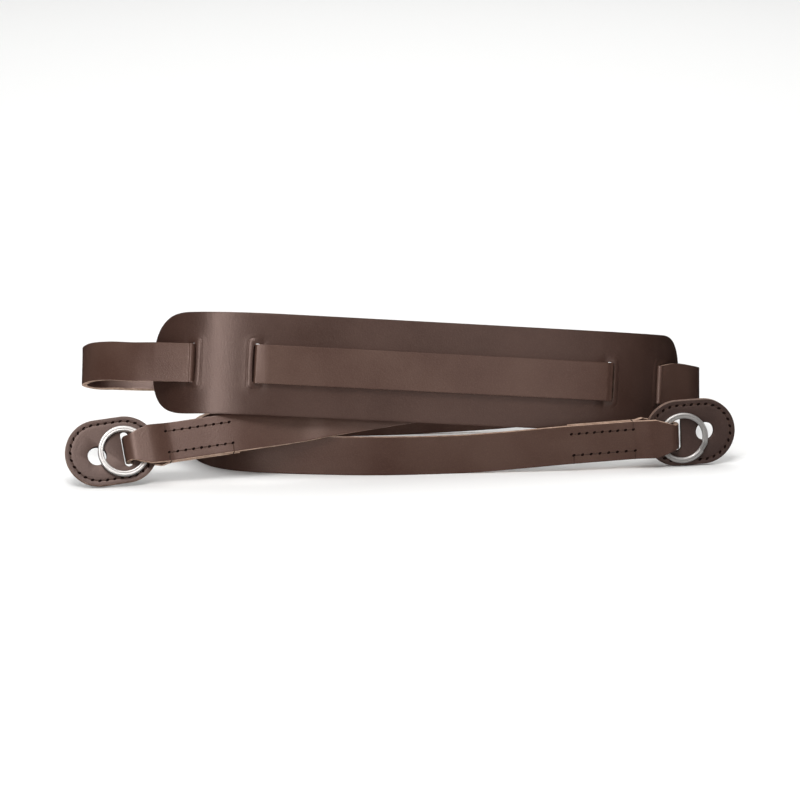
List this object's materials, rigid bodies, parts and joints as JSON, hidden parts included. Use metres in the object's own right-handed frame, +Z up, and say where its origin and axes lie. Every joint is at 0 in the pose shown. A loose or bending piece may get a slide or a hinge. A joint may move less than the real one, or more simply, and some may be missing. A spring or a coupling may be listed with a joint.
{
  "type": "leather shoulder strap",
  "caption": "Brown leather shoulder strap for a camera, laid folded: a long slotted pad on a narrow woven strap, with a split ring and a stitched oval flap at each end.",
  "frame": {"origin": "on the table under the middle of the laid strap's bounding box", "axes": "+X along the pad to the viewer's right, +Y away from the viewer, +Z up from the table"},
  "size_m": [0.2606, 0.1142, 0.0647],
  "materials": {
    "pad_leather": "smooth semi-matte dark brown leather with fine grain",
    "strap_leather": "smooth semi-matte dark brown leather with tan cut edges",
    "flap_leather": "dark brown leather in two stitched plies",
    "split_ring": "brushed nickel-plated steel"
  },
  "bodies": {
    "root": {"shoulder_pad": "pad_leather", "strap_band": "strap_leather", "flap_left_front_ply": "flap_leather", "flap_left_back_ply": "flap_leather", "split_ring_left": "split_ring", "flap_right_front_ply": "flap_leather", "flap_right_back_ply": "flap_leather", "split_ring_right": "split_ring"}
  },
  "joints": []
}
